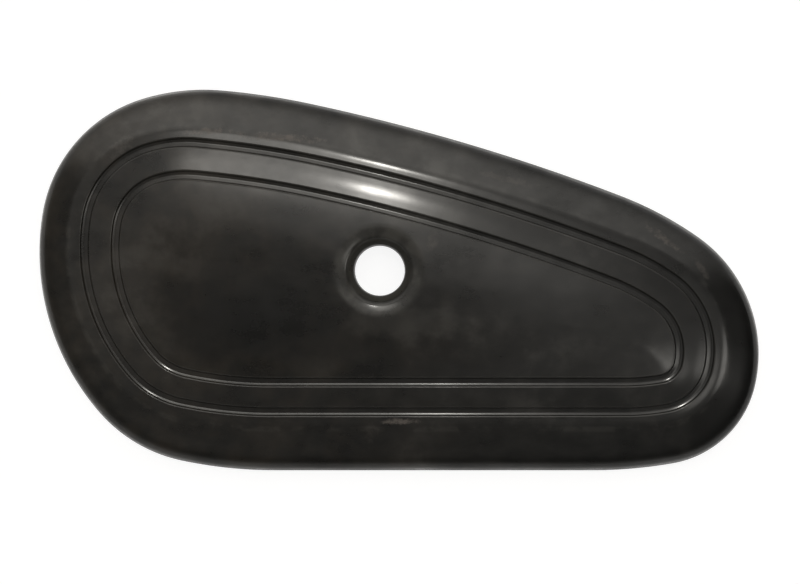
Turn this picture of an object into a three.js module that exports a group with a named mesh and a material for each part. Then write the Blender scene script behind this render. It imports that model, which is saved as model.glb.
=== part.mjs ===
// Knee pad for the side of a motorcycle's fuel tank, moulded in one piece of black rubber.
// Its back is flat. Its front is a shallow cushion with a rounded flank, two grooves that run round
// it side by side, and one hole for the fixing with a broad bevel at its front edge.
// Millimetres. X runs from the broad heel to the slim nose, Y runs up across the pad and Z out of
// the front. The origin is in the plane of the back, at the middle of the pad's length and width.

import * as THREE from "three";
import { LoftGeometry } from "three/addons/geometries/LoftGeometry.js";

// Overall size of the rim
const padLength = 240;
const padWidth = 127;

// Width of the flank, from the rim to the middle of the outer groove
const flankAtHeel = 16.7;
const flankAtNose = 17.8;
const flankAbove = 18.4;
const flankBelow = 20.2;

// The rim and the outer groove are two closed outlines of arcs, each arc tangent to the next, and
// one straight along the lower edge. They run anticlockwise from the right end of that straight.
// Each arc has its turn in degrees, its radius at the rim and its radius along the groove. The turn
// and the radii that are left out are the ones that close the outline at its length and width.
const arcs = {
  noseUnderside: { turn: 10, rim: 155, groove: 80 },
  noseLowerCorner: { turn: 67, rim: 34, groove: 17 },
  noseEnd: {},
  noseShoulder: { turn: 14, rim: 120, groove: 78 },
  slantedTop: { turn: 9 },
  topBend: { turn: 7, rim: 240, groove: 340 },
  heelTop: { turn: 22, rim: 70, groove: 43 },
  heelEnd: { turn: 64, rim: 48, groove: 28.5 },
  heelSlope: { turn: 50 },
  heelLowerCorner: { turn: 37, rim: 50, groove: 29.5 },
  heelUnderside: { turn: 12, rim: 150, groove: 143 },
};

// Flank: a small round at the back's edge, a steep wall, and a shoulder that rolls over to a ridge.
// The roll is how far the shoulder's curve is pulled down beside the ridge.
const footRound = 0.8;
const wallHeight = 4;
const wallLean = 0.9;
const shoulderHeight = 10.2;
const shoulderFullness = 0.6;
const shoulderRoll = 2.4;

// Front: the margin between the ridge and the outer groove is rounded, with a slope in degrees at
// either edge. From there everything up to the field's edge rises inwards at one slope, and the field
// is crowned by a further height over the width of a strip inside its edge.
const marginWidth = 4.5;
const slopeAtRidge = 12;
const slopeAtGroove = 7;
const frontSlope = 7.5;
const fieldCrown = 0.7;
const crownWidth = 20;

// Grooves: width of the mouth and of either wall, depth of the outer wall, and the floor's two
// slopes in degrees, which fall from the outer wall to the deepest line and rise to the inner wall
const grooveMouth = 3;
const grooveOuterWall = 0.4;
const grooveInnerWall = 0.5;
const grooveOuterDepth = 0.62;
const grooveFloorFallWidth = 0.9;
const grooveFloorFall = 13;
const grooveFloorRise = 8;
const grooveLip = 0.3;
const groovePitch = 10.3;
const innerGrooveDrop = 0.5;

// Hole for the fixing: a nearly straight bore, a bevel at its front that steepens downwards, and a
// shallow dish round it. The bevel's depth grows with a power of the share of its width.
const holeX = -6.4;
const holeY = 3.1;
const boreRadiusAtBack = 8.3;
const boreRadiusAtFront = 8.4;
const bevelWidth = 2.7;
const bevelDepth = 3.4;
const bevelPower = 1.35;
const dishWidth = 4;
const dishDepth = 0.42;

// Fineness of the faces: no step along the rim is longer, or turns by more degrees, than this, and
// the field's steps grow towards the hole
const longestStep = 5.8;
const greatestStepTurn = 9;
const shoulderSteps = 6;
const fieldSteps = 8;
const fieldStepGrowth = 1.4;
const dishSteps = 2;
const bevelSteps = 4;

const padMaterial = new THREE.MeshStandardMaterial({
  color: new THREE.Color().setRGB(0.17, 0.165, 0.155, THREE.SRGBColorSpace),
  roughness: 0.48,
  metalness: 0,
});

const arcList = Object.values(arcs);

// Directions that the edge faces, in radians: the lower straight faces straight down, and one full
// turn later it does so again
const rightFace = 2 * Math.PI;
const upperFace = 2.5 * Math.PI;
const leftFace = 3 * Math.PI;
const lowerFaceAtStart = 1.5 * Math.PI;
const lowerFaceAtEnd = 3.5 * Math.PI;

// Gives each arc the direction that it faces at its start and at its end
function faceDirections() {
  const knownTurn = arcList.reduce((sum, arc) => sum + (arc.turn ?? 0), 0);
  let start = lowerFaceAtStart;
  return arcList.map((arc) => {
    const end = start + THREE.MathUtils.degToRad(arc.turn ?? 360 - knownTurn);
    const directions = { start, end };
    start = end;
    return directions;
  });
}

// How far an arc of radius 1 carries the edge along one axis while it faces from one direction to
// another
function carry(directions, axis, from, to) {
  const start = THREE.MathUtils.clamp(directions.start, from, to);
  const end = THREE.MathUtils.clamp(directions.end, from, to);
  return axis === "x" ? Math.cos(end) - Math.cos(start) : Math.sin(end) - Math.sin(start);
}

// The arcs and the straight of one closed outline. Four conditions close it: its right and left
// halves are each as high as the width, and its upper and lower halves each as long as the length.
function closeOutline(radiusName, length, width) {
  const directions = faceDirections();
  const unknown = arcList.flatMap((arc, index) => (arc[radiusName] === undefined ? [index] : []));
  const conditions = [
    { axis: "y", spans: [[lowerFaceAtStart, upperFace]], total: width, straights: 0 },
    { axis: "y", spans: [[upperFace, lowerFaceAtEnd]], total: -width, straights: 0 },
    { axis: "x", spans: [[rightFace, leftFace]], total: -length, straights: 0 },
    {
      axis: "x",
      spans: [[leftFace, lowerFaceAtEnd], [lowerFaceAtStart, rightFace]],
      total: length,
      straights: 1,
    },
  ];
  const rows = conditions.map(({ axis, spans, total, straights }) => {
    const carries = directions.map((direction) =>
      spans.reduce((sum, [from, to]) => sum + carry(direction, axis, from, to), 0));
    const known = arcList.reduce((sum, arc, i) => sum + (arc[radiusName] ?? 0) * carries[i], 0);
    return { factors: [...unknown.map((i) => carries[i]), straights], rest: total - known };
  });
  const factors = new THREE.Matrix4().set(...rows.flatMap((row) => row.factors));
  const found = new THREE.Vector4(...rows.map((row) => row.rest)).applyMatrix4(factors.invert());
  const radii = arcList.map((arc, i) => arc[radiusName] ?? found.getComponent(unknown.indexOf(i)));
  return { directions, radii, straight: found.w };
}

const rimOutline = closeOutline("rim", padLength, padWidth);
const grooveOutline = closeOutline(
  "groove", padLength - flankAtHeel - flankAtNose, padWidth - flankAbove - flankBelow);

// Every loop has the same number of points on each arc, so that they match across the section
const straightSteps = Math.ceil(rimOutline.straight / longestStep);
const arcSteps = rimOutline.directions.map(({ start, end }, index) => Math.ceil(Math.max(
  rimOutline.radii[index] * (end - start) / longestStep,
  THREE.MathUtils.radToDeg(end - start) / greatestStepTurn)));

// Points of an outline moved inwards by an inset, and set with the middle of their box at a centre
function loopPoints({ directions, radii, straight }, inset, centre) {
  const points = [];
  const place = new THREE.Vector2();
  for (let step = 0; step < straightSteps; step += 1) {
    points.push(new THREE.Vector2(straight * step / straightSteps, 0));
  }
  place.x = straight;
  directions.forEach(({ start, end }, index) => {
    const radius = Math.max(radii[index] - inset, grooveLip);
    const middle = place.clone().sub(new THREE.Vector2(radius, 0).rotateAround(new THREE.Vector2(), start));
    for (let step = 0; step < arcSteps[index]; step += 1) {
      const facing = THREE.MathUtils.lerp(start, end, step / arcSteps[index]);
      points.push(new THREE.Vector2(Math.cos(facing), Math.sin(facing)).multiplyScalar(radius).add(middle));
    }
    place.set(Math.cos(end), Math.sin(end)).multiplyScalar(radius).add(middle);
  });
  const box = new THREE.Box2().setFromPoints(points);
  const shift = centre.clone().sub(box.getCenter(new THREE.Vector2()));
  return points.map((point) => point.add(shift));
}

const grooveCentre = new THREE.Vector2((flankAtHeel - flankAtNose) / 2, (flankBelow - flankAbove) / 2);
const innerGrooveCentre = grooveCentre.clone().sub(new THREE.Vector2(0, innerGrooveDrop));

const rimLoop = (inset) => loopPoints(rimOutline, inset, new THREE.Vector2());
const grooveLoop = (inset) => loopPoints(grooveOutline, inset, grooveCentre);
const innerGrooveLoop = (inset) => loopPoints(grooveOutline, groovePitch + inset, innerGrooveCentre);

// A ring lifts a loop to its height, and a blend lies a share of the way from one loop to another
const ring = (loop, height) => loop.map((point) => new THREE.Vector3(point.x, point.y, height));
const blend = (from, to, share) => from.map((point, i) => point.clone().lerp(to[i], share));

// Heights along the front
const riseOf = (slope) => Math.tan(THREE.MathUtils.degToRad(slope));
const rise = riseOf(frontSlope);
const marginMiddleHeight = shoulderHeight + marginWidth / 2 * riseOf(slopeAtRidge);
const outerLipHeight = marginMiddleHeight + marginWidth / 2 * riseOf(slopeAtGroove);
const innerLipHeight = outerLipHeight + groovePitch * rise;
const fieldEdgeHeight = innerLipHeight + grooveMouth * rise;

// Flat back, foot, wall, shoulder and margin. The shoulder leaves the wall along the wall's lean.
function flankRings() {
  const wallTop = rimLoop(wallLean);
  const marginEdge = grooveLoop(-grooveMouth / 2 - marginWidth);
  const shoulderWidth = flankAbove - wallLean - grooveMouth / 2 - marginWidth;
  const upright = (shoulderHeight - wallHeight) * shoulderFullness;
  const shoulder = new THREE.CubicBezierCurve(
    new THREE.Vector2(0, wallHeight),
    new THREE.Vector2(upright * wallLean / wallHeight / shoulderWidth, wallHeight + upright),
    new THREE.Vector2(1 - shoulderFullness, shoulderHeight - shoulderRoll),
    new THREE.Vector2(1, shoulderHeight));
  return [
    ring(rimLoop(footRound), 0),
    ring(rimLoop(0), footRound),
    ...shoulder.getPoints(shoulderSteps).map(({ x, y }) => ring(blend(wallTop, marginEdge, x), y)),
    ring(grooveLoop(-grooveMouth / 2 - marginWidth / 2), marginMiddleHeight),
  ];
}

// One groove, from its outer lip to its inner lip
function grooveRings(loopAt, outerHeight) {
  const mouth = grooveMouth / 2;
  const innerHeight = outerHeight + grooveMouth * rise;
  const outerFoot = grooveOuterWall - mouth;
  const deepest = outerFoot + grooveFloorFallWidth;
  const innerFoot = mouth - grooveInnerWall;
  const deepestHeight = outerHeight - grooveOuterDepth - grooveFloorFallWidth * riseOf(grooveFloorFall);
  return [
    ring(loopAt(-mouth - grooveLip), outerHeight - grooveLip * rise),
    ring(loopAt(-mouth), outerHeight - grooveLip / 2),
    ring(loopAt(outerFoot), outerHeight - grooveOuterDepth),
    ring(loopAt(deepest), deepestHeight),
    ring(loopAt(innerFoot), deepestHeight + (innerFoot - deepest) * riseOf(grooveFloorRise)),
    ring(loopAt(mouth), innerHeight - grooveLip / 2),
    ring(loopAt(mouth + grooveLip), innerHeight + grooveLip * rise),
  ];
}

// Gives the height of the crowned field at a point, from its distance to the field's edge
function crownOver(fieldEdge) {
  const edge = ring(fieldEdge, 0);
  const sides = edge.map((start, i) => new THREE.Line3(start, edge[(i + 1) % edge.length]));
  const nearest = new THREE.Vector3();
  return (point) => {
    const place = new THREE.Vector3(point.x, point.y, 0);
    const distances = sides.map((side) => {
      side.closestPointToPoint(place, true, nearest);
      return nearest.distanceTo(place);
    });
    const share = Math.min(Math.min(...distances) / crownWidth, 1);
    return fieldEdgeHeight + fieldCrown * (1 - (1 - share) ** 2);
  };
}

// Crowned field, the dish, the hole's bevel and its bore down to the back
function fieldAndHoleRings() {
  const fieldEdge = innerGrooveLoop(grooveMouth / 2 + grooveLip);
  const crownAt = crownOver(fieldEdge);
  const crownRing = (loop, drop) =>
    loop.map((point) => new THREE.Vector3(point.x, point.y, crownAt(point) - drop));
  const holeCentre = new THREE.Vector2(holeX, holeY);
  const holeLoop = (radius) => fieldEdge.map((point) =>
    point.clone().sub(holeCentre).setLength(radius).add(holeCentre));
  const bevelRadius = boreRadiusAtFront + bevelWidth;
  const dishEdge = holeLoop(bevelRadius + dishWidth);
  const rings = [];
  for (let step = 1; step <= fieldSteps; step += 1) {
    const share = (step / fieldSteps) ** fieldStepGrowth;
    rings.push(crownRing(blend(fieldEdge, dishEdge, share), 0));
  }
  for (let step = 1; step <= dishSteps; step += 1) {
    const share = step / dishSteps;
    rings.push(crownRing(holeLoop(bevelRadius + dishWidth * (1 - share)), dishDepth * share ** 2));
  }
  for (let step = 1; step <= bevelSteps; step += 1) {
    const share = step / bevelSteps;
    const radius = boreRadiusAtFront + bevelWidth * (1 - share);
    rings.push(crownRing(holeLoop(radius), dishDepth + bevelDepth * share ** bevelPower));
  }
  rings.push(ring(holeLoop(boreRadiusAtBack), 0));
  return rings;
}

// The rings run from the foot over the front and down the hole, and end on the foot again across
// the flat back, so the skin closes on itself round the hole
const footRing = ring(rimLoop(footRound), 0);
const padRings = [
  ...flankRings(),
  ...grooveRings(grooveLoop, outerLipHeight),
  ...grooveRings(innerGrooveLoop, innerLipHeight),
  ...fieldAndHoleRings(),
  footRing,
];

const kneePad = new THREE.Mesh(new LoftGeometry(padRings), padMaterial);
kneePad.name = "knee_pad";

const tankPad = new THREE.Group();
tankPad.add(kneePad);

export default tankPad;
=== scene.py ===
"""Aged rubber knee pad for the side of a motorcycle's fuel tank, lying on a pale studio floor.

Everything is in metres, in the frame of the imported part: X runs from the broad heel to the slim
nose, Y up across the pad and Z out of its grooved front.
"""

import math

import bmesh
import bpy
import numpy as np
from bpy.props import FloatProperty, FloatVectorProperty, PointerProperty
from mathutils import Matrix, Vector


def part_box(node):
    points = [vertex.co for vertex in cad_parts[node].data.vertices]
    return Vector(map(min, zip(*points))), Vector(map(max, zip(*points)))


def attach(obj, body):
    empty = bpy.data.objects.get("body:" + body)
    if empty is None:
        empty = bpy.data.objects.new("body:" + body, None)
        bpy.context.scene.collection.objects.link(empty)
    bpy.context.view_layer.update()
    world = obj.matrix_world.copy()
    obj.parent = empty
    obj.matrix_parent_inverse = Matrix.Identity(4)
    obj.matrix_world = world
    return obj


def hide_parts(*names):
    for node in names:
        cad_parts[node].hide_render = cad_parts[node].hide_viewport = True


bl_info = {
    "name": "Tank Knee Pad",
    "version": (1, 0, 0),
    "blender": (4, 5, 0),
    "location": "View3D > Sidebar > Knee Pad",
    "description": "Builds an aged rubber knee pad and the studio it lies in",
    "category": "Object",
}

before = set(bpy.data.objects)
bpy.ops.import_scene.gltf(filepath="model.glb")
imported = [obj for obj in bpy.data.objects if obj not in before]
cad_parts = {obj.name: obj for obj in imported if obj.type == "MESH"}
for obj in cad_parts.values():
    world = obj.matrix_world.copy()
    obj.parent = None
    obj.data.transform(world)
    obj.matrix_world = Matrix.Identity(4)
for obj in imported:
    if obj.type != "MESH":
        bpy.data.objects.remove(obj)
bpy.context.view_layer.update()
PAD_LOW, PAD_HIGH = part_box("knee_pad")

MM = 0.001

# The rim and the outer groove are closed outlines of tangent arcs and one straight along the lower
# edge. They run anticlockwise from the right end of that straight. Each arc has its turn in
# degrees and its radius in millimetres at the rim and along the groove. What is left out follows
# from the length and the width of the outline.
ARCS = {
    "nose underside": {"turn": 10, "rim": 155, "groove": 80},
    "nose lower corner": {"turn": 67, "rim": 34, "groove": 17},
    "nose end": {},
    "nose shoulder": {"turn": 14, "rim": 120, "groove": 78},
    "slanted top": {"turn": 9},
    "top bend": {"turn": 7, "rim": 240, "groove": 340},
    "heel top": {"turn": 22, "rim": 70, "groove": 43},
    "heel end": {"turn": 64, "rim": 48, "groove": 28.5},
    "heel slope": {"turn": 50},
    "heel lower corner": {"turn": 37, "rim": 50, "groove": 29.5},
    "heel underside": {"turn": 12, "rim": 150, "groove": 143},
}

# Directions that an outline faces at its lowest, rightmost, topmost and leftmost points and at its
# lowest again
LOWER_START, RIGHT, UPPER, LEFT, LOWER_END = (math.pi * share for share in (1.5, 2, 2.5, 3, 3.5))

# An arc that is moved inwards keeps at least this radius
SMALLEST_RADIUS = 0.3 * MM

# The curve at a corner of the section takes at most this share of the lines beside it. A guard
# point lies beyond each of its ends, this many times as far from the corner and within its limit.
CURVE_LIMIT = 0.45
GUARD_REACH = 1.3
GUARD_LIMIT = 0.5

# Rings of the skin in the field, in the dish and in the bevel at the hole
FIELD_RINGS = 23
DISH_RINGS = 6
BEVEL_RINGS = 10

# The depth of the bevel at the hole grows with this power of the share of its width
BEVEL_POWER = 1.35

# Part of the grooves' pitch that the round on the band takes to each side of its middle
BAND_ROUND = 0.2

# Points of the skin that are closer than this are one, and edges sharper than this stay sharp
WELD_DISTANCE = 0.001 * MM
SHARP_ANGLE = math.radians(40)


def length_property(name, description, default):
    """A length that the sidebar shows in the scene's unit."""
    return FloatProperty(
        name=name, description=description, default=default, subtype="DISTANCE", unit="LENGTH"
    )


def slope_property(name, description, degrees):
    """An angle that the sidebar shows in the scene's unit."""
    return FloatProperty(
        name=name,
        description=description,
        default=math.radians(degrees),
        subtype="ANGLE",
        unit="ROTATION",
    )


def share_property(name, description, default):
    """A share that the sidebar shows as a slider."""
    return FloatProperty(name=name, description=description, default=default, subtype="FACTOR")


def colour_property(name, description, default):
    """A colour that can be picked in the sidebar."""
    return FloatVectorProperty(
        name=name, description=description, default=default, size=3, subtype="COLOR"
    )


class PadSizes(bpy.types.PropertyGroup):
    """Sizes of the pad's section, from the rim inwards to the hole."""

    flank_heel: length_property("Flank at heel", "Rim to the outer groove, at the heel", 16.7 * MM)
    flank_nose: length_property("Flank at nose", "Rim to the outer groove, at the nose", 17.8 * MM)
    flank_above: length_property("Flank above", "Rim to the outer groove, above", 18.4 * MM)
    flank_below: length_property("Flank below", "Rim to the outer groove, below", 20.2 * MM)
    foot_round: length_property("Foot round", "Round at the edge of the back", 0.8 * MM)
    wall_height: length_property("Wall height", "Height of the steep wall at the rim", 4 * MM)
    wall_lean: length_property("Wall lean", "How far the wall leans inwards", 0.9 * MM)
    shoulder_height: length_property("Shoulder height", "Height of the ridge", 10.3 * MM)
    shoulder_roll: length_property("Shoulder roll", "Fall of the shoulder near the ridge", 2.4 * MM)
    shoulder_fullness: FloatProperty(
        name="Shoulder fullness", description="How square the shoulder is", default=0.6
    )
    margin_width: length_property("Margin width", "Ridge to the outer groove's mouth", 4.5 * MM)
    ridge_round: length_property("Ridge round", "Reach of the round inside the ridge", 0.9 * MM)
    ridge_share: FloatProperty(
        name="Ridge share", description="Share of the shoulder that the round takes", default=0.14
    )
    slope_at_ridge: slope_property("Slope at ridge", "Slope of the margin at the ridge", 10)
    slope_at_groove: slope_property("Slope at groove", "Slope of the margin at the groove", 5)
    band_bulge: length_property("Band bulge", "Rise of the band between the grooves", 0.07 * MM)
    margin_round: length_property("Margin round", "Reach of the round along the margin", 1.95 * MM)
    front_slope: slope_property("Front slope", "Slope at which the front rises inwards", 7.5)
    field_crown: length_property("Field crown", "Further rise of the field", 0.7 * MM)
    crown_width: length_property("Crown width", "Width of the strip that the crown takes", 20 * MM)
    groove_mouth: length_property("Groove mouth", "Width of a groove at its mouth", 3 * MM)
    outer_wall: length_property("Outer wall", "Width of a groove's outer wall", 0.4 * MM)
    inner_wall: length_property("Inner wall", "Width of a groove's inner wall", 0.4 * MM)
    outer_depth: length_property("Outer depth", "Depth of a groove's outer wall", 0.62 * MM)
    fall_width: length_property("Fall width", "Width of the falling part of the floor", 0.8 * MM)
    floor_fall: slope_property("Floor fall", "Slope of the floor's outer part", 13)
    floor_rise: slope_property("Floor rise", "Slope of the floor's inner part", 9.5)
    groove_pitch: length_property("Groove pitch", "From one groove to the next", 10.3 * MM)
    groove_drop: length_property("Inner groove drop", "Inner groove below the outer", 0.5 * MM)
    lip_round: length_property("Lip round", "Round at a groove's inner lip", 0.32 * MM)
    foot_corner: length_property("Foot corner", "Round at the foot of a groove's wall", 0.12 * MM)
    floor_round: length_property("Floor round", "Round at a groove's deepest line", 0.35 * MM)
    hole_place: FloatVectorProperty(
        name="Hole place",
        description="Middle of the fixing hole",
        default=(-6.4 * MM, 3.1 * MM),
        size=2,
        subtype="XYZ",
        unit="LENGTH",
    )
    bore_back: length_property("Bore at back", "Radius of the bore at the back", 8.3 * MM)
    bore_front: length_property("Bore at front", "Radius of the bore below its bevel", 8.4 * MM)
    bevel_width: length_property("Bevel width", "Bevel at the hole's front edge", 2.7 * MM)
    bevel_depth: length_property("Bevel depth", "Depth of that bevel", 3.4 * MM)
    dish_width: length_property("Dish width", "Width of the dish round the hole", 4.5 * MM)
    dish_depth: length_property("Dish depth", "Depth of the dish", 0.44 * MM)
    step: length_property("Step", "Longest step along the rim", 1.45 * MM)
    step_turn: slope_property("Step turn", "Greatest turn between two steps along the rim", 2.4)
    field_width: length_property("Field width", "Nominal width of the field", 40 * MM)
    field_growth: FloatProperty(
        name="Field growth", description="How much the steps grow towards the hole", default=1.5
    )


def carry(starts, ends, axis, low, high):
    """How far arcs of radius 1 carry the edge along an axis while they face from low to high."""
    start = np.clip(starts, low, high)
    end = np.clip(ends, low, high)
    return np.cos(end) - np.cos(start) if axis == "x" else np.sin(end) - np.sin(start)


def close_outline(radius_name, length, width):
    """The directions, the radii and the straight of the outline that has this length and width."""
    known_turn = sum(arc.get("turn", 0) for arc in ARCS.values())
    turns = np.radians([arc.get("turn", 360 - known_turn) for arc in ARCS.values()])
    ends = LOWER_START + np.cumsum(turns)
    starts = ends - turns
    radii = np.array([arc.get(radius_name, 0) * MM for arc in ARCS.values()])
    missing = np.flatnonzero(radii == 0)
    rows, rests = [], []
    for axis, spans, total, straights in (
        ("y", [(LOWER_START, UPPER)], width, 0),
        ("y", [(UPPER, LOWER_END)], -width, 0),
        ("x", [(RIGHT, LEFT)], -length, 0),
        ("x", [(LEFT, LOWER_END), (LOWER_START, RIGHT)], length, 1),
    ):
        carries = sum(carry(starts, ends, axis, low, high) for low, high in spans)
        rows.append([*carries[missing], straights])
        rests.append(total - carries @ radii)
    found = np.linalg.solve(rows, rests)
    radii[missing] = found[:-1]
    return starts, ends, radii, found[-1]


def loop_points(outline, inset, centre, steps):
    """Points of an outline moved inwards by inset, with the middle of their box at centre."""
    starts, ends, radii, straight = outline
    count = steps[0]
    points = [np.column_stack((straight * np.arange(count) / count, np.zeros(count)))]
    place = np.array((straight, 0.0))
    for start, end, radius, count in zip(starts, ends, radii, steps[1:]):
        radius = max(radius - inset, SMALLEST_RADIUS)
        middle = place - radius * np.array((math.cos(start), math.sin(start)))
        facing = start + (end - start) * np.arange(count + 1) / count
        arc = middle + radius * np.column_stack((np.cos(facing), np.sin(facing)))
        points.append(arc[:-1])
        place = arc[-1]
    loop = np.vstack(points)
    return loop + centre - (loop.max(axis=0) + loop.min(axis=0)) / 2


def rounded(corners, steps=4):
    """A polyline with a quadratic curve at each corner. A corner is (x, y, length of its curve).

    The guard point beyond each end of a curve keeps the shading of the flat parts flat.
    """
    points = [corners[0][:2]]
    for before, (x, y, reach), after in zip(corners, corners[1:], corners[2:]):
        if not reach:
            points.append((x, y))
            continue
        corner = np.array((x, y))
        ways = [np.array(other[:2]) - corner for other in (before, after)]
        parts = [reach / np.linalg.norm(way) for way in ways]
        start, end = (corner + way * min(part, CURVE_LIMIT) for way, part in zip(ways, parts))
        before_start, after_end = (
            corner + way * min(GUARD_REACH * part, GUARD_LIMIT) for way, part in zip(ways, parts)
        )
        points.append(tuple(before_start))
        for share in np.linspace(0, 1, steps + 1):
            points.append(
                tuple((1 - share) ** 2 * start + 2 * share * (1 - share) * corner + share**2 * end)
            )
        points.append(tuple(after_end))
    points.append(corners[-1][:2])
    return points


class PadSection:
    """The pad's guide loops and the section that is carried round them.

    A station is a distance inwards from the rim, as measured on the upper side of the pad. Each
    guide loop stands at one station, and between two guides the loops are blended.
    """

    def __init__(self, sizes):
        self.sizes = sizes
        length, width = (PAD_HIGH - PAD_LOW).xy
        rim = close_outline("rim", length, width)
        groove = close_outline(
            "groove",
            length - sizes.flank_heel - sizes.flank_nose,
            width - sizes.flank_above - sizes.flank_below,
        )
        starts, ends, radii, straight = rim
        steps = [math.ceil(straight / sizes.step)] + [
            math.ceil(max(radius * (end - start) / sizes.step, (end - start) / sizes.step_turn))
            for start, end, radius in zip(starts, ends, radii)
        ]
        middle = np.array((PAD_HIGH + PAD_LOW).xy) / 2
        groove_middle = middle + 0.5 * np.array(
            (sizes.flank_heel - sizes.flank_nose, sizes.flank_below - sizes.flank_above)
        )
        inner_middle = groove_middle - np.array((0, sizes.groove_drop))
        mouth = sizes.groove_mouth / 2
        margin = sizes.margin_width
        reach = mouth + sizes.lip_round

        def rim_loop(inset):
            return loop_points(rim, inset, middle, steps)

        def groove_loop(inset):
            return loop_points(groove, inset, groove_middle, steps)

        def inner_loop(inset):
            return loop_points(groove, sizes.groove_pitch + inset, inner_middle, steps)

        field_edge = inner_loop(reach)
        hole = np.array(sizes.hole_place)
        rays = (field_edge - hole) / np.linalg.norm(field_edge - hole, axis=1)[:, None]

        def hole_loop(radius):
            return hole + radius * rays

        self.points_round = sum(steps)
        self.outer = sizes.flank_above
        self.inner = self.outer + sizes.groove_pitch
        self.ridge = self.outer - mouth - margin
        self.field = self.inner + reach
        self.dish = self.field + sizes.field_width
        self.edge = self.dish + sizes.dish_width
        self.throat = self.edge + sizes.bevel_width
        self.exit = self.throat + sizes.bore_front - sizes.bore_back
        edge_radius = sizes.bore_front + sizes.bevel_width
        self.guides = [
            (0, rim_loop(0)),
            (sizes.wall_lean, rim_loop(sizes.wall_lean)),
            (self.ridge, groove_loop(self.ridge - self.outer)),
            (self.outer + reach, groove_loop(reach)),
            (self.inner - reach, inner_loop(-reach)),
            (self.field, field_edge),
            (self.dish, hole_loop(edge_radius + sizes.dish_width)),
            (self.edge, hole_loop(edge_radius)),
            (self.throat, hole_loop(sizes.bore_front)),
            (self.exit, hole_loop(sizes.bore_back)),
        ]

    def loop_at(self, station):
        """The loop at a station."""
        for (low, first), (high, second) in zip(self.guides, self.guides[1:]):
            if station <= high:
                break
        share = min((station - low) / (high - low), 1)
        return first + (second - first) * share

    def profile(self):
        """The section as (station, height, crowned) points, from the foot to the hole's end."""
        sizes = self.sizes
        rise = math.tan(sizes.front_slope)
        half_margin = sizes.margin_width / 2
        margin_middle = sizes.shoulder_height + half_margin * math.tan(sizes.slope_at_ridge)
        lip = margin_middle + half_margin * math.tan(sizes.slope_at_groove)
        second_lip = lip + sizes.groove_pitch * rise
        field_edge = second_lip + sizes.groove_mouth * rise

        foot_end = 2 * sizes.foot_round
        foot = rounded([(foot_end, 0), (0, 0, sizes.foot_round), (0, foot_end)])
        curve = self.shoulder_curve()
        front = [curve[-1], (self.ridge + half_margin, margin_middle, sizes.margin_round)]
        front += self.groove_corners(self.outer, lip)
        band_middle = (self.outer + self.inner) / 2
        band_height = (lip + second_lip + sizes.groove_mouth * rise) / 2 + sizes.band_bulge
        front.append((band_middle, band_height, sizes.groove_pitch * BAND_ROUND))
        front += self.groove_corners(self.inner, second_lip)
        front.append((self.field, field_edge, 0))
        skin = foot[1:-1] + curve[:-1] + rounded(front)[1:]
        section = [(*point, 0) for point in skin]
        for share in np.linspace(0, 1, FIELD_RINGS + 1)[1:]:
            place = self.field + share**sizes.field_growth * sizes.field_width
            section.append((place, field_edge, 1))
        for share in np.linspace(0, 1, DISH_RINGS + 1)[1:]:
            place = self.dish + share * sizes.dish_width
            section.append((place, field_edge - sizes.dish_depth * share**2, 1))
        bevel_top = field_edge - sizes.dish_depth
        for share in np.linspace(0, 1, BEVEL_RINGS + 1)[1:]:
            place = self.edge + share * sizes.bevel_width
            section.append((place, bevel_top - sizes.bevel_depth * share**BEVEL_POWER, 1))
        section.append((self.exit, 0, 0))
        return section

    def crown_at(self, loop):
        """How far the field's crown lifts the points of a loop, by their distance to its edge."""
        edge = self.loop_at(self.field)
        sides = np.roll(edge, -1, axis=0) - edge
        ways = loop[:, None] - edge
        shares = np.clip((ways * sides).sum(axis=2) / (sides**2).sum(axis=1), 0, 1)
        distances = np.linalg.norm(ways - shares[:, :, None] * sides, axis=2).min(axis=1)
        share = np.minimum(distances / self.sizes.crown_width, 1)
        return self.sizes.field_crown * (1 - (1 - share) ** 2)

    def shoulder_curve(self, steps=16):
        """The shoulder as a cubic curve from the top of the wall, and the round over the ridge."""
        sizes = self.sizes
        full = sizes.shoulder_fullness
        wall = np.array((sizes.wall_lean, sizes.wall_height))
        ridge = np.array((self.ridge, sizes.shoulder_height))
        upper = wall + full * (ridge - wall)[1] * np.array((sizes.wall_lean / sizes.wall_height, 1))
        inner = ridge - (full * (ridge - wall)[0], sizes.shoulder_roll)
        shares = np.linspace(0, 1 - sizes.ridge_share, steps + 1)[:, None]
        curve = (
            (1 - shares) ** 3 * wall
            + 3 * shares * (1 - shares) ** 2 * upper
            + 3 * shares**2 * (1 - shares) * inner
            + shares**3 * ridge
        )
        margin = np.array((1, math.tan(sizes.slope_at_ridge)))
        way = curve[-1] - curve[-2]
        along = np.linalg.solve(np.column_stack((way, -margin)), ridge - curve[-1])
        corner = curve[-1] + along[0] * way
        end = ridge + sizes.ridge_round * margin
        shares = np.linspace(0, 1, steps // 2 + 1)[1:, None]
        over = (1 - shares) ** 2 * curve[-1] + 2 * shares * (1 - shares) * corner + shares**2 * end
        return [tuple(point) for point in (*curve, *over)]

    def groove_corners(self, centre, lip):
        """The corners of one groove, from its outer lip to its inner lip."""
        sizes = self.sizes
        rise = math.tan(sizes.front_slope)
        mouth = sizes.groove_mouth / 2
        outer_foot = centre - mouth + sizes.outer_wall
        deepest = outer_foot + sizes.fall_width
        inner_foot = centre + mouth - sizes.inner_wall
        outer_floor = lip - sizes.outer_depth
        bottom = outer_floor - sizes.fall_width * math.tan(sizes.floor_fall)
        inner_floor = bottom + (inner_foot - deepest) * math.tan(sizes.floor_rise)
        return [
            (centre - mouth, lip, sizes.lip_round),
            (outer_foot, outer_floor, sizes.foot_corner),
            (deepest, bottom, sizes.floor_round),
            (inner_foot, inner_floor, sizes.foot_corner),
            (centre + mouth, lip + sizes.groove_mouth * rise, sizes.lip_round),
        ]


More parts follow.
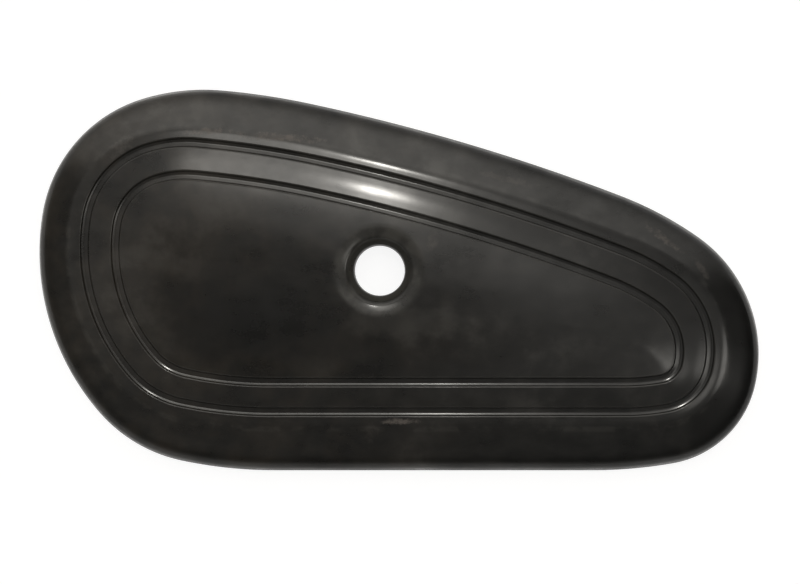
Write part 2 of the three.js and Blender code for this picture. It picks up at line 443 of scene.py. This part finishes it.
class Wire:
    """A socket of a node tree that can be used in an expression."""

    def __init__(self, nodes, socket):
        self.nodes = nodes
        self.socket = socket

    def math(self, operation, *values):
        """A Math node on this socket and the values."""
        sockets = dict(enumerate((self, *values)))
        return self.nodes.add("ShaderNodeMath", {"operation": operation}, sockets)

    def __add__(self, other):
        return self.math("ADD", other)

    def __radd__(self, other):
        return self.math("ADD", other)

    def __sub__(self, other):
        return self.math("SUBTRACT", other)

    def __rsub__(self, other):
        return self.nodes.add("ShaderNodeMath", {"operation": "SUBTRACT"}, {0: other, 1: self})

    def __mul__(self, other):
        return self.math("MULTIPLY", other)

    def __rmul__(self, other):
        return self.math("MULTIPLY", other)

    def __abs__(self):
        return self.math("ABSOLUTE")

    def ramp(self, low, high):
        """A smooth step from 0 at low to 1 at high. It falls where low is the higher one."""
        settings = {"interpolation_type": "SMOOTHSTEP", "clamp": True}
        sockets = {"Value": self, "From Min": low, "From Max": high}
        return self.nodes.add("ShaderNodeMapRange", settings, sockets)


class Nodes:
    """Adds nodes to a node tree."""

    def __init__(self, tree):
        self.tree = tree
        tree.nodes.clear()

    def add(self, kind, settings=None, sockets=None, output=0):
        """A node with its settings and its sockets' values or links, as the wire of an output."""
        node = self.tree.nodes.new(kind)
        for name, value in (settings or {}).items():
            setattr(node, name, value)
        for name, value in (sockets or {}).items():
            if isinstance(value, Wire):
                self.tree.links.new(value.socket, node.inputs[name])
            else:
                node.inputs[name].default_value = value
        return Wire(self, node.outputs[output]) if node.outputs else None

    def noise(self, place, scale, detail, roughness):
        """Noise from 0 to 1 at a place, with features one scale-th of a metre across."""
        return self.add(
            "ShaderNodeTexNoise",
            {"noise_dimensions": "3D"},
            {"Vector": place, "Scale": scale, "Detail": detail, "Roughness": roughness},
        )

    def mix(self, share, first, second):
        """A colour that goes from the first to the second as share goes from 0 to 1."""
        kind = {"data_type": "RGBA", "blend_type": "MIX", "clamp_factor": True}
        node = self.add("ShaderNodeMix", kind, {"Factor": share}).socket.node
        for name, value in (("A", first), ("B", second)):
            socket = self.colour_socket(node.inputs, name)
            if isinstance(value, Wire):
                self.tree.links.new(value.socket, socket)
            else:
                socket.default_value = (*value, 1)
        return Wire(self, self.colour_socket(node.outputs, "Result"))

    def colour_socket(self, sockets, name):
        """The colour among the sockets of this name."""
        return next(socket for socket in sockets if socket.name == name and socket.type == "RGBA")


class RubberFinish(bpy.types.PropertyGroup):
    """Colours, marks and gloss of the aged rubber."""

    rubber: colour_property("Rubber", "Clean rubber", (0.0046, 0.0046, 0.0044))
    bloom: colour_property("Bloom", "Brownish bloom of old rubber", (0.023, 0.018, 0.0125))
    # This colour is dust, and also paints the sheen round the hole, along the ridge, the bevel's
    # reflection and the patches of painted sheen.
    dust_and_sheen: colour_property("Dust", "Grey dust in clouds and on worn lines", (0.05, 0.048, 0.043))
    scuff: colour_property("Scuffs", "Pale scuffs", (0.17, 0.15, 0.135))
    even_bloom: share_property("Even bloom", "Bloom that lies everywhere", 0.1)
    cloudy_bloom: share_property("Cloudy bloom", "Bloom in wide clouds", 0.5)
    mottled_bloom: share_property("Mottled bloom", "Bloom in small blots", 0.4)
    cloudy_dust: share_property("Cloudy dust", "Dust in the blots of the clouds", 0.45)
    streaky_dust: share_property("Streaky dust", "Dust in fine streaks along the pad", 0.12)
    clean_nose: share_property("Clean nose", "Dust that is missing at the nose", 0.8)
    lip_wear: share_property("Lip wear", "Paleness of the grooves' lips", 0.5)
    # Paleness of the ridge is painted sheen.
    ridge_sheen: share_property("Ridge sheen", "Paleness of the ridge", 0.25)
    # Paleness round the hole is painted sheen.
    painted_hole_sheen: share_property("Painted hole sheen", "Paleness round the hole", 0.9)
    gloss: share_property("Roughness", "Roughness of the rubber", 0.3)
    polish: share_property("Polish", "Share of the smooth skin", 0.6)
    polish_roughness: share_property("Polish roughness", "Roughness of that skin", 0.12)
    grain: length_property("Grain", "Depth of the moulded grain", 0.006 * MM)
    swell: length_property("Swell", "Depth of the slow unevenness of the front", 0.07 * MM)


# Pale scuffs on the front: middle x and y, length and width in millimetres, turn in degrees and
# strength
SCUFFS = (
    (-63.5, 48.6, 17, 2.6, 2, 0.5),
    (-40.0, 46.8, 34, 3.4, -4, 0.5),
    (-91.0, 44.0, 13, 6.0, 40, 0.15),
    (87.0, 13.8, 18, 3.4, -38, 0.3),
    (99.5, 3.5, 10, 3.0, -55, 0.15),
    (0.5, -46.6, 14, 2.4, 0, 0.5),
    (-9.0, -50.0, 8, 6.0, 60, 0.08),
    (11.0, 13.0, 8, 5.0, 60, 0.15),
    (36.0, 33.0, 30, 3.0, -14, 0.12),
)

# Patches of painted shade, which are darker, and patches of painted sheen, which are paler, in the
# same order of values
PAINTED_SHADE_PATCHES = (
    (-45.0, -12.0, 74, 44, 0, 0.85),
    (28.0, -33.0, 90, 14, 0, 0.5),
    (52.0, -6.0, 70, 26, -12, 0.7),
    (104.0, -26.0, 30, 50, 20, 0.6),
)
PAINTED_SHEEN_PATCHES = (
    (4.0, -14.0, 52, 15, -3, 0.3),
    (4.0, 22.0, 46, 14, -12, 0.25),
)

# How far noise moves the edge of a patch, and how far inwards of it the patch fades in, both as
# shares of its radius
PATCH_FRAY = 1.6
PATCH_FADE = 0.7

# Where marks fade in or out: heights for the marks of the front, places along the pad for the bloom
# at the heel and for the clean nose, and stations for the dull wall of the rim
FRONT_FADE = (1 * MM, 3 * MM)
HEEL_FADE = (70 * MM, -80 * MM)
NOSE_FADE = (75 * MM, 105 * MM)
WALL_FADE = (3.2 * MM, 1.4 * MM)

# Levels of a noise at which a mark begins and at which it is full. Most of a noise lies between 0.3
# and 0.7, so that levels within that make blots.
BLOOM_LEVELS = {"clouds": (0.38, 0.66), "mottle": (0.4, 0.68)}
DUST_LEVELS = {"clouds": (0.5, 0.75), "mottle": (0.4, 0.66), "streaks": (0.36, 0.8)}
SCUFF_LEVELS = {"fray": (0.4, 0.6)}
RIDGE_LEVELS = {"mottle": (0.46, 0.62)}
HALO_LEVELS = {"mottle": (0.4, 0.62)}

# The even part of the scuffs, the lips' wear, the painted sheen round the hole and the smooth skin,
# and the part that follows a noise
SCUFF_PARTS = (0.4, 0.8)
LIP_PARTS = (0.25, 0.7)
HALO_PARTS = (0.3, 0.7)
POLISH_PARTS = (0.2, 1.6)

# Lines round the pad, the worn lips and the painted sheen along the ridge, round the edge of the
# hole and on its bevel: how far a line lies inwards of the groove's lip, the ridge, the edge of the
# hole or its throat, and how far it reaches to each side. It is full within FULL_PART of its reach.
LIP_LINE = (0, 0.45 * MM)
RIDGE_LINE = (0.3 * MM, 1.3 * MM)
HALO_LINE = (-1.5 * MM, 3.5 * MM)
BEVEL_LINE = (-0.7 * MM, 1.7 * MM)
FULL_PART = 0.3

# The streaks are drawn out along the pad, where places are scaled by less
STREAK_SCALE = (0.55, 1, 1)

# How far each noise changes the roughness and the share of the smooth skin, and its relief in
# millimetres
GLOSS_NOISE = {"clouds": 0.1, "mottle": 0.08, "streaks": 0.16}
POLISH_NOISE = {"mottle": 0.5, "streaks": 0.45, "fray": 0.3}
RELIEF_NOISE = {"mottle": 0.03, "fray": 0.004}
SCUFF_DEPTH = 0.02

# How much rougher scuffs, the ridge and the walls are, and how much of the smooth skin they and the
# edge of the hole have lost
SCUFF_GLOSS = 0.3
RIDGE_GLOSS = 0.09
WALL_GLOSS = 0.28
SCUFF_LOSS = 0.6
HALO_LOSS = 0.12
WALL_LOSS = 0.18


def patch_mask(nodes, place, fray, patch):
    """A frayed patch on the front, from 0 outside it to its strength in the middle."""
    x, y, length, width, turn, strength = patch
    local = nodes.add(
        "ShaderNodeMapping",
        {"vector_type": "TEXTURE"},
        {
            "Vector": place,
            "Location": (x * MM, y * MM, 0),
            "Rotation": (0, 0, math.radians(turn)),
            "Scale": (length * MM / 2, width * MM / 2, 1),
        },
    )
    reach = nodes.add("ShaderNodeVectorMath", {"operation": "LENGTH"}, {0: local}, "Value")
    return (1 - reach + (fray - 0.5) * PATCH_FRAY).ramp(0, PATCH_FADE) * strength


def rubber_material(finish, section):
    """Old black rubber: cloudy brown bloom, dust, scuffs, fine grain and uneven gloss, with patches
    of painted shade and painted sheen, and painted sheen round the hole, on its bevel and along the
    ridge.
    """
    material = bpy.data.materials.new("aged_rubber")
    material.use_nodes = True
    nodes = Nodes(material.node_tree)
    place = nodes.add("ShaderNodeTexCoord", output="Object")
    station = nodes.add("ShaderNodeAttribute", {"attribute_name": "station"}, output="Fac")
    parts = nodes.add("ShaderNodeSeparateXYZ", None, {"Vector": place}).socket.node.outputs
    along, height = Wire(nodes, parts["X"]), Wire(nodes, parts["Z"])

    swell = nodes.noise(place, scale=22, detail=1, roughness=0.5)
    clouds = nodes.noise(place, scale=30, detail=3, roughness=0.55)
    mottle = nodes.noise(place, scale=110, detail=4, roughness=0.6)
    fray = nodes.noise(place, scale=420, detail=4, roughness=0.65)
    drawn = nodes.add(
        "ShaderNodeVectorMath", {"operation": "MULTIPLY"}, {0: place, 1: STREAK_SCALE}
    )
    streaks = nodes.noise(drawn, scale=190, detail=4, roughness=0.65)
    grain = nodes.noise(place, scale=1700, detail=2, roughness=0.6)
    noises = {"clouds": clouds, "mottle": mottle, "fray": fray, "streaks": streaks}

    def near(station_of, line):
        """1 on a line, of wear on the lips and of painted sheen elsewhere, which lies by a station
        of the section, and 0 beyond its reach.
        """
        inwards, reach = line
        return abs(station - (station_of + inwards)).ramp(reach, reach * FULL_PART)

    def blots(name, levels):
        """The part of a noise between a mark's levels."""
        return noises[name].ramp(*levels[name])

    def parted(parts, mask):
        """The even part, and the other part where the mask is."""
        even, masked = parts
        return even + mask * masked

    def vary(value, shares):
        """A value that each noise raises and lowers by its share."""
        for name, share in shares.items():
            value = value + (noises[name] - 0.5) * share
        return value

    front = height.ramp(*FRONT_FADE)
    bloom = (
        finish.even_bloom
        + blots("clouds", BLOOM_LEVELS) * finish.cloudy_bloom
        + blots("mottle", BLOOM_LEVELS) * finish.mottled_bloom
    )
    bloom = front * along.ramp(*HEEL_FADE) * bloom
    dust_and_sheen = blots("clouds", DUST_LEVELS) * blots("mottle", DUST_LEVELS) * finish.cloudy_dust
    dust_and_sheen = dust_and_sheen + blots("streaks", DUST_LEVELS) * finish.streaky_dust
    dust_and_sheen = dust_and_sheen * (1 - along.ramp(*NOSE_FADE) * finish.clean_nose)
    # Painted shade: in its patches the bloom and the dust are taken away, so that the field is
    # darker. Painted sheen: in its patches paler dust is added.
    painted_shade = sum(patch_mask(nodes, place, clouds, patch) for patch in PAINTED_SHADE_PATCHES)
    painted_sheen = sum(patch_mask(nodes, place, mottle, patch) for patch in PAINTED_SHEEN_PATCHES)
    bloom = bloom * (1 - painted_shade)
    dust_and_sheen = dust_and_sheen * (1 - painted_shade) + painted_sheen
    scuffs = sum(patch_mask(nodes, place, fray, scuff) for scuff in SCUFFS)
    scuffs = front * scuffs * parted(SCUFF_PARTS, blots("fray", SCUFF_LEVELS))

    mouth = section.sizes.groove_mouth / 2
    lips = [line + side * mouth for line in (section.outer, section.inner) for side in (-1, 1)]
    rubbed = sum(near(lip, LIP_LINE) for lip in lips) * parted(LIP_PARTS, mottle)
    # Painted sheen: a paler line along the ridge, which is also rougher.
    ridge = near(section.ridge, RIDGE_LINE) * blots("mottle", RIDGE_LEVELS)
    # Painted sheen: a paler ring round the edge of the hole.
    halo = near(section.edge, HALO_LINE) * parted(HALO_PARTS, blots("mottle", HALO_LEVELS))
    # Painted reflection: the bevel at the hole is paled to grey in the dust colour.
    bevel = near(section.throat, BEVEL_LINE)
    # Wear on the lips, and painted sheen along the ridge, round the hole and on the bevel
    wear_and_sheen = rubbed * finish.lip_wear + ridge * finish.ridge_sheen + halo * finish.painted_hole_sheen + bevel
    walls = station.ramp(*WALL_FADE) + station.ramp(section.throat, section.exit)

    colour = nodes.mix(bloom, finish.rubber, finish.bloom)
    colour = nodes.mix(dust_and_sheen * front, colour, finish.dust_and_sheen)
    colour = nodes.mix(wear_and_sheen * front, colour, finish.dust_and_sheen)
    colour = nodes.mix(scuffs, colour, finish.scuff)
    gloss = vary(finish.gloss, GLOSS_NOISE)
    gloss = gloss + scuffs * SCUFF_GLOSS + ridge * RIDGE_GLOSS + walls * WALL_GLOSS
    polish = vary(finish.polish * parted(POLISH_PARTS, clouds), POLISH_NOISE)
    polish = polish - (scuffs * SCUFF_LOSS + halo * HALO_LOSS + walls * WALL_LOSS)
    relief = swell * (finish.swell / MM)
    for name, depth in RELIEF_NOISE.items():
        relief = relief + noises[name] * depth
    relief = relief + grain * (finish.grain / MM) - scuffs * SCUFF_DEPTH
    bump = nodes.add("ShaderNodeBump", None, {"Strength": 1, "Distance": MM, "Height": relief})
    surface = nodes.add(
        "ShaderNodeBsdfPrincipled",
        None,
        {
            "Base Color": colour,
            "Roughness": gloss,
            "Normal": bump,
            "IOR": 1.5,
            "Specular IOR Level": 0.25,
            "Coat Weight": polish.math("MAXIMUM", 0),
            "Coat Roughness": finish.polish_roughness,
        },
    )
    nodes.add("ShaderNodeOutputMaterial", None, {"Surface": surface})
    return material


# Soft glows of the room that the pad reflects: degrees from straight up towards +X and towards +Y,
# radius in degrees and brightness. The first draws the highlight out towards the heel, the second
# shows above the hole, the third in the slim end of the field and the last in the margin round the
# nose.
GLOWS = (
    (-2, 16.5, 7.5, 4.6),
    (3, 9, 9, 0.6),
    (16, -7, 7, 2.8),
    (34, -8, 10.5, 3.6),
)

# The parts of the room, by the direction from the pad as a vector of length 1, which goes along the
# pad, across it and up. A part begins at its first level and is full at its second.
CEILING_UP = (0.6, 0.82)
CEILING_ACROSS = (-0.45, 0.1)
WINDOW_ACROSS = (0.33, 0.52)
WINDOW_TOP = (0.6, 1)
HORIZON_ACROSS = (-0.3, -0.8)
HORIZON_UP = (0.55, 0.05)

# What the ceiling keeps of its light on the lower side, and what the window loses towards its top
LOWER_CEILING = 0.5
WINDOW_FALL = 0.55

# What the ceiling and the room lose of their light towards the nose, and the window to both sides
CEILING_LEAN = 0.85
ROOM_LEAN = 0.8
WINDOW_LEAN = 0.9

# The shade about the camera: degrees from its middle to where it begins and to where it is full,
# and how much light it takes from the ceiling and from the rest of the room
SHADE_BEGIN = 11
SHADE_FULL = 4
CEILING_SHADE = 0.9
ROOM_SHADE = 0.54

# The floor: points round its edge, how far it lies under the pad, the tone of its paper, the
# strength of the white that is seen and how much of that shows in reflections
FLOOR_POINTS = 96
FLOOR_DROP = 0.2 * MM
PAPER_TONE = 0.85
WHITE_STRENGTH = 1.25
WHITE_IN_GLOSS = 0.4

# Width of the camera's sensor in millimetres
SENSOR_WIDTH = 36


class StudioSettings(bpy.types.PropertyGroup):
    """Camera, lamp, floor and surroundings."""

    camera_place: FloatVectorProperty(
        name="Camera place",
        description="Straight above the pad, looking down",
        default=(0.313 * MM, -4.01 * MM, 601.5 * MM),
        subtype="XYZ",
        unit="LENGTH",
    )
    lens: FloatProperty(name="Lens", description="Focal length in mm", default=81)
    key_place: FloatVectorProperty(
        name="Key lamp place",
        description="Small lamp that makes the highlight above the hole",
        default=(0.039, 0.343, 1.066),
        subtype="XYZ",
        unit="LENGTH",
    )
    key_size: length_property("Key lamp size", "Diameter of the key lamp", 0.036)
    key_power: FloatProperty(name="Key lamp power", description="In watts", default=0.6)
    ceiling: FloatProperty(
        name="Ceiling", description="Brightness of the ceiling round the camera", default=0.3
    )
    window: FloatProperty(
        name="Window side", description="Brightness that is added above the pad", default=1.5
    )
    horizon: FloatProperty(
        name="Horizon", description="Brightness that is added low below the pad", default=0.5
    )
    room: FloatProperty(name="Room", description="Brightness of the rest of the room", default=0.1)
    lamp_colour: colour_property(
        "Lamp colour", "Colour of the lamp and of the room's light", (1.0, 0.97, 0.91)
    )
    shade: FloatVectorProperty(
        name="Camera shade",
        description="Direction in which the camera and its holder darken the ceiling",
        default=(-0.087, -0.07, 0.994),
        subtype="DIRECTION",
    )
    floor_glow: share_property("Floor glow", "Share of white in the floor where it is seen", 0.7)
    floor_radius: length_property("Floor radius", "Radius of the studio floor", 8.0)
    backdrop_height: length_property("Backdrop height", "Height of the wall round it", 1.2)


class KNEEPAD_OT_mould(bpy.types.Operator):
    """Model the rubber pad: a closed skin drawn from its foot over the front and down the hole"""

    bl_idname = "kneepad.mould"
    bl_label = "Mould the Pad"

    def execute(self, context):
        section = PadSection(context.scene.pad_sizes)
        profile = section.profile()
        profile.append(profile[0])
        bpy.ops.object.select_all(action="DESELECT")
        bpy.ops.mesh.primitive_circle_add(
            vertices=section.points_round, radius=PAD_HIGH.x, fill_type="NOTHING"
        )
        pad = context.object
        pad.name = pad.data.name = "knee_pad_rubber"
        bpy.ops.object.mode_set(mode="EDIT")
        mesh = bmesh.from_edit_mesh(pad.data)
        mesh.verts.layers.int.new("column")
        mesh.verts.layers.float.new("station")
        column = mesh.verts.layers.int["column"]
        for number, vertex in enumerate(mesh.verts):
            vertex[column] = number
        self.set_ring(pad, section, *profile[0])
        for point in profile[1:]:
            bpy.ops.mesh.extrude_edges_indiv()
            self.set_ring(pad, section, *point)
        bpy.ops.mesh.select_all(action="SELECT")
        bpy.ops.mesh.remove_doubles(threshold=WELD_DISTANCE)
        bpy.ops.mesh.normals_make_consistent(inside=False)
        bpy.ops.object.mode_set(mode="OBJECT")
        pad.data.attributes.remove(pad.data.attributes["column"])
        bpy.ops.object.shade_smooth_by_angle(angle=SHARP_ANGLE)
        pad.data.materials.append(rubber_material(context.scene.rubber_finish, section))
        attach(pad, "root")
        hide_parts("knee_pad")
        return {"FINISHED"}

    def set_ring(self, pad, section, place, height, crowned):
        """Moves the selected ring of points onto the section's loop at a place and a height."""
        mesh = bmesh.from_edit_mesh(pad.data)
        column = mesh.verts.layers.int["column"]
        station = mesh.verts.layers.float["station"]
        loop = section.loop_at(place)
        heights = height + crowned * section.crown_at(loop)
        for vertex in mesh.verts:
            if vertex.select:
                vertex.co = (*loop[vertex[column]], heights[vertex[column]])
                vertex[station] = place
        bmesh.update_edit_mesh(pad.data)


def floor_material(glow):
    """White floor that keeps the pad's shadow, and is lifted to white where it is seen."""
    material = bpy.data.materials.new("studio_floor")
    material.use_nodes = True
    nodes = Nodes(material.node_tree)
    path = nodes.add("ShaderNodeLightPath").socket.node
    seen = sum(
        Wire(nodes, path.outputs[ray]) * share
        for ray, share in (
            ("Is Camera Ray", 1),
            ("Is Glossy Ray", WHITE_IN_GLOSS),
            ("Is Transmission Ray", 1),
        )
    )
    tone = (PAPER_TONE, PAPER_TONE, PAPER_TONE, 1)
    paper = nodes.add("ShaderNodeBsdfDiffuse", None, {"Color": tone})
    white = nodes.add("ShaderNodeEmission", None, {"Strength": WHITE_STRENGTH})
    surface = nodes.add("ShaderNodeMixShader", None, {0: seen * glow, 1: paper, 2: white})
    nodes.add("ShaderNodeOutputMaterial", None, {"Surface": surface})
    return material


def room_light(world, studio):
    """A pale ceiling that is darker about the camera, a bright window side and a dim room."""
    world.use_nodes = True
    nodes = Nodes(world.node_tree)
    way = nodes.add("ShaderNodeTexCoord", output="Generated")
    parts = nodes.add("ShaderNodeSeparateXYZ", None, {"Vector": way}).socket.node.outputs
    along, across, up = (Wire(nodes, parts[axis]) for axis in "XYZ")

    def disc(middle, begin, full):
        """1 within the full angle of a direction, and 0 beyond the angle at which it begins."""
        nearness = nodes.add(
            "ShaderNodeVectorMath", {"operation": "DOT_PRODUCT"}, {0: way, 1: middle}, "Value"
        )
        return nearness.ramp(math.cos(math.radians(begin)), math.cos(math.radians(full)))

    shade = disc(studio.shade, SHADE_BEGIN, SHADE_FULL)
    ceiling = studio.ceiling * up.ramp(*CEILING_UP) * (1 - CEILING_SHADE * shade)
    ceiling = ceiling * (1 - along * CEILING_LEAN)
    ceiling = ceiling * (LOWER_CEILING + across.ramp(*CEILING_ACROSS) * (1 - LOWER_CEILING))
    window = studio.window * across.ramp(*WINDOW_ACROSS)
    window = window * (1 - across.ramp(*WINDOW_TOP) * WINDOW_FALL) * (1 - abs(along) * WINDOW_LEAN)
    horizon = studio.horizon * across.ramp(*HORIZON_ACROSS) * up.ramp(*HORIZON_UP)
    room = studio.room * (1 - along * ROOM_LEAN) * (1 - ROOM_SHADE * shade)
    light = room + ceiling + window + horizon
    for right, above, radius, brightness in GLOWS:
        middle = Vector((math.tan(math.radians(right)), math.tan(math.radians(above)), 1))
        light = light + disc(middle.normalized(), radius, 0) * brightness
    glow = nodes.add(
        "ShaderNodeBackground", None, {"Color": (*studio.lamp_colour, 1), "Strength": light}
    )
    nodes.add("ShaderNodeOutputWorld", None, {"Surface": glow})


class KNEEPAD_OT_studio(bpy.types.Operator):
    """Set up the floor with its backdrop, the lamp, the room's light and the camera"""

    bl_idname = "kneepad.studio"
    bl_label = "Set Up the Studio"

    def execute(self, context):
        studio = context.scene.studio
        self.add_floor(context, studio)
        self.add_lamp(context, studio)
        context.scene.world = bpy.data.worlds.new("room")
        room_light(context.scene.world, studio)
        bpy.ops.object.camera_add(location=studio.camera_place, rotation=(0, 0, 0))
        camera = context.object
        camera.name = "camera_above"
        camera.data.sensor_width = SENSOR_WIDTH
        camera.data.lens = studio.lens
        context.scene.camera = camera
        context.scene.view_settings.view_transform = "Standard"
        return {"FINISHED"}

    def add_floor(self, context, studio):
        """A disc just under the pad, with its edge drawn up into a low backdrop."""
        bpy.ops.object.select_all(action="DESELECT")
        bpy.ops.mesh.primitive_circle_add(
            vertices=FLOOR_POINTS,
            radius=studio.floor_radius,
            fill_type="NGON",
            location=(0, 0, -FLOOR_DROP),
        )
        floor = context.object
        floor.name = floor.data.name = "studio_floor"
        bpy.ops.object.mode_set(mode="EDIT")
        bpy.ops.mesh.select_mode(type="EDGE")
        bpy.ops.mesh.select_all(action="SELECT")
        bpy.ops.mesh.extrude_edges_indiv()
        bpy.ops.transform.translate(value=(0, 0, studio.backdrop_height))
        bpy.ops.object.mode_set(mode="OBJECT")
        bpy.ops.object.transform_apply(location=True, rotation=True, scale=True)
        floor.data.materials.append(floor_material(studio.floor_glow))

    def add_lamp(self, context, studio):
        """The round key lamp, turned to the middle of the pad."""
        place = Vector(studio.key_place)
        turn = place.to_track_quat("Z", "Y").to_euler()
        bpy.ops.object.light_add(type="AREA", location=place, rotation=turn)
        lamp = context.object
        lamp.name = "key_lamp"
        lamp.visible_camera = False
        lamp.data.shape = "DISK"
        lamp.data.size = studio.key_size
        lamp.data.energy = studio.key_power
        lamp.data.color = studio.lamp_colour


class KNEEPAD_PT_sidebar(bpy.types.Panel):
    """The pad's sizes, its finish and the studio"""

    bl_idname = "KNEEPAD_PT_sidebar"
    bl_label = "Knee Pad"
    bl_space_type = "VIEW_3D"
    bl_region_type = "UI"
    bl_category = "Knee Pad"

    def draw(self, context):
        scene = context.scene
        for group, operator in (
            (scene.pad_sizes, None),
            (scene.rubber_finish, KNEEPAD_OT_mould),
            (scene.studio, KNEEPAD_OT_studio),
        ):
            box = self.layout.box()
            for name in group.__annotations__:
                box.prop(group, name)
            if operator:
                box.operator(operator.bl_idname)


CLASSES = (
    PadSizes,
    RubberFinish,
    StudioSettings,
    KNEEPAD_OT_mould,
    KNEEPAD_OT_studio,
    KNEEPAD_PT_sidebar,
)
GROUPS = {"pad_sizes": PadSizes, "rubber_finish": RubberFinish, "studio": StudioSettings}


def register():
    """Adds the classes to Blender, and the groups of settings to the scene."""
    for cls in CLASSES:
        bpy.utils.register_class(cls)
    for name, group in GROUPS.items():
        setattr(bpy.types.Scene, name, PointerProperty(type=group))


def unregister():
    """Takes the groups of settings and the classes out again."""
    for name in GROUPS:
        delattr(bpy.types.Scene, name)
    for cls in reversed(CLASSES):
        bpy.utils.unregister_class(cls)


def main():
    """Builds everything."""
    register()
    bpy.ops.kneepad.mould()
    bpy.ops.kneepad.studio()


if __name__ == "__main__":
    main()
